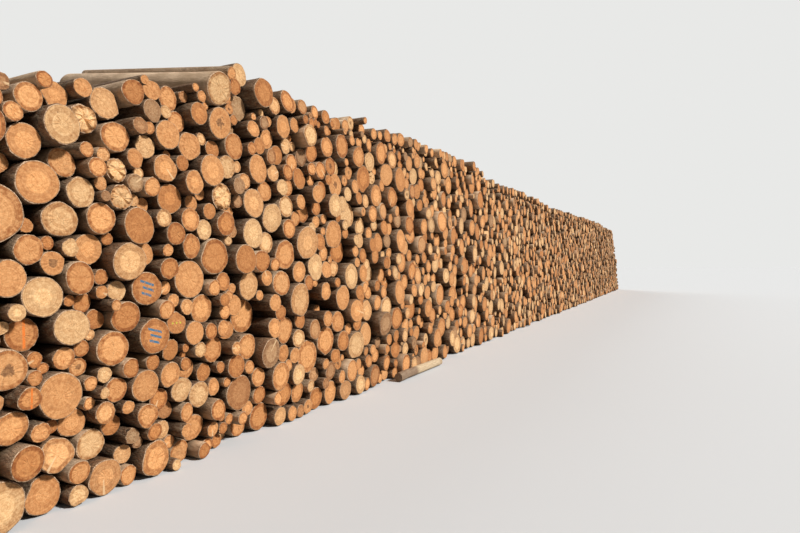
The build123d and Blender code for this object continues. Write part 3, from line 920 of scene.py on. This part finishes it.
def end_material(colours):
    """Sawn end grain: heart and sapwood, rings, checks, saw marks, stains, paint and a bark rim."""
    material, tree, surface = new_material("sawn_end")
    grain, (across, up, _) = carried(tree, "grain")
    _, (share, _, tone) = carried(tree, "traits")
    looks, (first, second, third) = carried(tree, "looks")
    moved = grain + looks * LOOKS_SHIFT
    # Some ends at random take the grey end tint, partly weathering and partly painted shade
    shown = first.spread(0.90, 0.99, 0.0, 0.8).mix(end_tones(tree, tone, colours), colours.weathered_and_shaded_end)

    # Growth rings round the pith, rays from it, and the fuzz of the cut fibres
    distance = (across * across + up * up).math("SQRT")
    safe = distance + 0.002
    ray = vector(across / safe, up / safe, third * 30.0)
    fibres = (ray * (8.0, 8.0, 1.0)).noise(1.6, 5.0, 0.7, 0.4)
    fuzz = moved.noise(48.0, 6.0, 0.72)
    ring_way = distance + (moved.noise(14.0, 2.0) - 0.5) * 0.018
    rings = (ring_way * 1150.0).math("SINE")
    broad_rings = (ring_way * 430.0).math("SINE")
    bands = vector(ring_way * 60.0, second * 50.0, 0.0).noise(1.0, 3.0)
    for mask, factor in (
            (rings.spread(-0.2, 1.0, 0.0, 0.2), RINGS),
            (broad_rings.spread(0.0, 1.0, 0.0, 0.22), BROAD_RINGS),
            (bands.spread(0.45, 0.7, 0.0, 0.45), BANDS),
            (fibres.spread(0.42, 0.66, 0.0, 0.42), RAYS),
            (fuzz.spread(0.42, 0.62), FIBRE_SHADE),
            (fuzz.spread(0.50, 0.36, 0.0, 0.7), FIBRE_LIGHT)):
        shown = mask.toned(shown, factor)

    # Heartwood, stained sapwood, dirt and specks
    heart_edge = second * 0.35 + (fibres - 0.5) * 0.22 + 0.42
    heart = (share - heart_edge).spread(0.05, -0.05)
    shown = (heart * third.spread(0.1, 0.9, 0.1, 1.0)).toned(shown, HEARTWOOD)
    sap_noise = moved.noise(24.0, 5.0, 0.65).spread(0.36, 0.62, 0.3, 1.0)
    sap_stain = (1.0 - heart) * sap_noise * second.spread(0.1, 0.9, 0.2, 1.0)
    shown = sap_stain.toned(shown, SAP_STAIN)
    dirty = use_group(tree, "Dirt and stains", Place=moved, Blotch_size=17.0, Amount=0.5)
    shown = (dirty["Blotches"] * 0.5).toned(shown, SOILING)
    shown = (dirty["Specks"] * 0.55).mix(shown, FLECKS)

    # Saw marks and checks
    saw_turn = third * 6.28
    saw_way = across * saw_turn.math("COSINE") + up * saw_turn.math("SINE")
    saw_noise = vector(saw_way * 260.0, first * 90.0, 0.0).noise(1.0, 3.0, 0.7)
    shown = saw_noise.spread(0.5, 0.75, 0.0, 0.3).toned(shown, SAW_MARKS)
    checks = use_group(tree, "Radial checks", Across=across, Up=up, Share_of_radius=share,
                       Chance=second, Count=2.5)["Checks"]
    shown = (checks * first.spread(0.6, 0.1, 0.0, 0.85)).mix(shown, CHECK_DARK)

    # A rotten heart on some ends, and a pale strip on some where the last wood tore off
    lobes = moved.noise(26.0, 3.0) - 0.5
    rot = (share + lobes * 0.9).spread(0.36, 0.24) * third.spread(0.035, 0.02)
    shown = (rot * 0.8).mix(shown, fuzz.spread(0.4, 0.6).mix(ROT_PALE, ROT_DARK))
    turn = first * 44.0
    off = across * turn.math("COSINE") + up * turn.math("SINE")
    along = up * turn.math("COSINE") - across * turn.math("SINE")
    width = 0.001 + fuzz * (0.006 + share * 0.009)
    strip = (off.math("ABSOLUTE") - width).spread(0.001, -0.001) * along.spread(0.0, 0.02)
    shown = (strip * third.spread(0.93, 0.95) * 0.7).mix(shown, SPLIT_STRIP)

    # Paint, and the rim of bark round the wood
    held = fuzz.spread(0.62, 0.5, 0.25, 0.95)
    paints = (colours.blue_paint, colours.yellow_paint, colours.orange_paint)
    for mask, paint in zip(paint_masks(tree), paints):
        shown = (held * mask).mix(shown, paint)
    edge = share + (fuzz - 0.5) * 0.03
    rim = moved.noise(120.0).spread(0.38, 0.6).mix(RIM_DARK, RIM_PALE)
    shown = edge.spread(0.945, 0.957).mix(shown, rim)
    cambium = edge.spread(0.925, 0.94) * edge.spread(0.96, 0.948)
    cover(surface, (cambium * 0.5).mix(shown, CAMBIUM), 0.8, 0.3)
    bump(surface, saw_noise * 0.6 + rings * 0.1 + fuzz * 0.8 - checks * 1.5, 0.45, 0.003)
    return material


def paint_masks(tree):
    """Where a sawn end carries blue strokes, yellow dots or an orange stripe."""
    _, (kind, across, up) = carried(tree, "paint")

    def band(value, middle, half, edge=0.03):
        """1 as far as half the width on each side of a middle, with a soft edge."""
        return (value - middle).math("ABSOLUTE").spread(half + edge, half)

    slanted = up + across * 0.3
    strokes = None
    for height, middle, half in STROKES:
        line = band(slanted, height, 0.05) * band(across, middle, half)
        strokes = line if strokes is None else strokes.math("MAXIMUM", line)
    columns, rows = [band(way.math("PINGPONG", 0.2), 0.0, 0.06) for way in (across, up)]
    dots = columns * rows * band(up, 0.0, 0.3) * band(across, 0.0, 0.6)
    stripe = band(across, 0.1, 0.06) * band(up, 0.0, 0.8)
    masks = ((strokes, BLUE_STROKES), (dots, YELLOW_DOTS), (stripe, ORANGE_STRIPE))
    return [mask * band(kind, number, 0.3, 0.1) for mask, number in masks]


def bare_material(colours):
    """Peeled pale wood with grain along the stem and patches of bark."""
    material, tree, surface = new_material("bare_wood")
    grain, (_, _, way) = carried(tree, "grain")
    fine = (grain * (1.0, 1.0, 0.06)).noise(160.0)
    streaked = fine.spread(0.35, 0.7).mix(colours.bare_wood, STREAKS)
    dirty = use_group(tree, "Dirt and stains", Place=grain, Blotch_size=6.0, Amount=0.6)
    scales = use_group(tree, "Bark scales", Place=grain, Scale=34.0)
    barked = way.spread(0.62, 0.5) * fine.spread(0.2, 0.4)
    soiled = (dirty["Blotches"] * 0.4).mix(streaked, STEM_DIRT)
    shown = barked.mix(soiled, scales["Flakes"].mix(colours.bark_brown, colours.bark_grey))
    cover(surface, shown, 0.75, 0.5)
    bump(surface, fine + scales["Height"] * barked, 0.4, 0.004)
    return material


@cache
def finish(title):
    """The material of that name, built when it is first used."""
    makers = {"bark": bark_material, "sawn_end": end_material, "bare_wood": bare_material}
    return makers[title](bpy.context.scene.log_colours)


class LOGS_OT_solid_logs(bpy.types.Operator):
    """Dresses every log of the near end and of the top course"""
    bl_idname = "logs.solid_logs"
    bl_label = "Near and top logs"

    def execute(self, context):
        mark_shaded_logs()
        mark_special_ends()
        for number, (node, logs) in enumerate(LEVEL_LOGS.items()):
            dress(node, by_detail(logs), SOLID_SEED + number)
        return {"FINISHED"}


class LOGS_OT_raised_logs(bpy.types.Operator):
    """Dresses the two raised top logs and the short log that props them"""
    bl_idname = "logs.raised_logs"
    bl_label = "Raised top logs"

    def execute(self, context):
        for number, (node, look) in enumerate(RAISED_LOOKS.items()):
            bar = solid_bar(node, (0, 1, 0))
            dress(node, [(bar, RAISED_CORNERS, CLOSE_PROFILE)], RAISED_SEED + number, look)
        return {"FINISHED"}


class LOGS_OT_inner_logs(bpy.types.Operator):
    """Lays the inner logs of the stack, whose ends show along the front and the back"""
    bl_idname = "logs.inner_logs"
    bl_label = "Inner logs"

    def execute(self, context):
        packing = Packing(context.scene.log_sizes)
        packing.settle()
        packing.fill_gaps()
        logs = packing.logs()
        bays = [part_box(node)[1].x for node in HIDDEN_NODES[:-1]] + [EVERYWHERE]
        parts = split(logs, logs.fronts[:, 0], bays)
        for number, (node, part) in enumerate(zip(HIDDEN_NODES, parts)):
            dress(node, by_detail(part), INNER_SEED + number)
        return {"FINISHED"}


class LOGS_OT_foot_stem(bpy.types.Operator):
    """Dresses the bare stem at the foot of the stack"""
    bl_idname = "logs.foot_stem"
    bl_label = "Stem at the foot"

    def execute(self, context):
        bar = solid_bar("foot_stem", (1, 0, 0))
        dress("foot_stem", [(bar, STEM_CORNERS, CLOSE_PROFILE)], STEM_SEED,
              finishes=("bare_wood", "bare_wood"))
        return {"FINISHED"}


class LOGS_OT_stage(bpy.types.Operator):
    """Sets the floor, the soft light and the camera"""
    bl_idname = "logs.stage"
    bl_label = "Floor, light and camera"

    def execute(self, context):
        self.floor(context)
        self.light(context)
        self.camera(context)
        context.scene.view_settings.view_transform = "Standard"
        return {"FINISHED"}

    def floor(self, context):
        mesh = bpy.data.meshes.new("floor")
        disc = bmesh.new()
        bmesh.ops.create_circle(disc, cap_ends=True, segments=180, radius=FLOOR_RADIUS)
        disc.to_mesh(mesh)
        disc.free()
        material, tree, surface = new_material("floor")
        colours = context.scene.log_colours
        cover(surface, seen_rays(tree).mix(colours.floor_light, colours.floor), 1.0, 0.0)
        mesh.materials.append(material)
        floor = place("floor", mesh)
        floor.location.z = -FLOOR_DROP

    def light(self, context):
        world = bpy.data.worlds.new("studio")
        context.scene.world = world
        world.use_nodes = True
        tree = world.node_tree
        tree.nodes.clear()
        rays = seen_rays(tree)
        lit = rays.node("ShaderNodeBackground", {"Strength": WORLD_STRENGTH})
        seen = rays.node("ShaderNodeBackground", {"Strength": 1.0, "Color": BACKGROUND})
        mixed = rays.node("ShaderNodeMixShader", {0: rays, 1: lit, 2: seen})
        add_node(tree, "ShaderNodeOutputWorld", {0: mixed})
        for name, energy, angle, way in LAMPS:
            sun = bpy.data.lights.new(name, "SUN")
            sun.energy = energy
            sun.angle = math.radians(angle)
            place(name, sun).rotation_euler = Vector(way).to_track_quat("-Z", "Y").to_euler()

    def camera(self, context):
        lens = bpy.data.cameras.new("camera")
        lens.sensor_width = SENSOR_WIDTH
        lens.lens = FOCAL_PIXELS / PHOTO_WIDTH * SENSOR_WIDTH
        lens.clip_end = CAMERA_REACH
        camera = place("camera", lens)
        camera.location = (ALONG_ZERO + CAMERA_ALONG, FRONT_Y - CAMERA_OFF_FRONT, CAMERA_HEIGHT)
        forward = Vector((math.cos(CAMERA_TURN), math.sin(CAMERA_TURN), 0))
        camera.rotation_euler = forward.to_track_quat("-Z", "Y").to_euler()
        context.scene.camera = camera


class LOGS_PT_panel(bpy.types.Panel):
    bl_label = "Stack of logs"
    bl_idname = "LOGS_PT_panel"
    bl_space_type = "VIEW_3D"
    bl_region_type = "UI"
    bl_category = "Logs"

    def draw(self, context):
        for settings in (context.scene.log_sizes, context.scene.log_colours):
            for name in settings.__annotations__:
                self.layout.prop(settings, name)
        for operator in OPERATORS:
            self.layout.operator(operator.bl_idname)


OPERATORS = (LOGS_OT_solid_logs, LOGS_OT_raised_logs, LOGS_OT_inner_logs, LOGS_OT_foot_stem,
             LOGS_OT_stage)
CLASSES = (LogSizes, LogColours, *OPERATORS, LOGS_PT_panel)


def register():
    for each in CLASSES:
        bpy.utils.register_class(each)
    bpy.types.Scene.log_sizes = PointerProperty(type=LogSizes)
    bpy.types.Scene.log_colours = PointerProperty(type=LogColours)


def unregister():
    del bpy.types.Scene.log_colours
    del bpy.types.Scene.log_sizes
    for each in reversed(CLASSES):
        bpy.utils.unregister_class(each)


def main():
    register()
    bpy.ops.logs.solid_logs()
    bpy.ops.logs.raised_logs()
    bpy.ops.logs.inner_logs()
    bpy.ops.logs.foot_stem()
    bpy.ops.logs.stage()


if __name__ == "__main__":
    main()
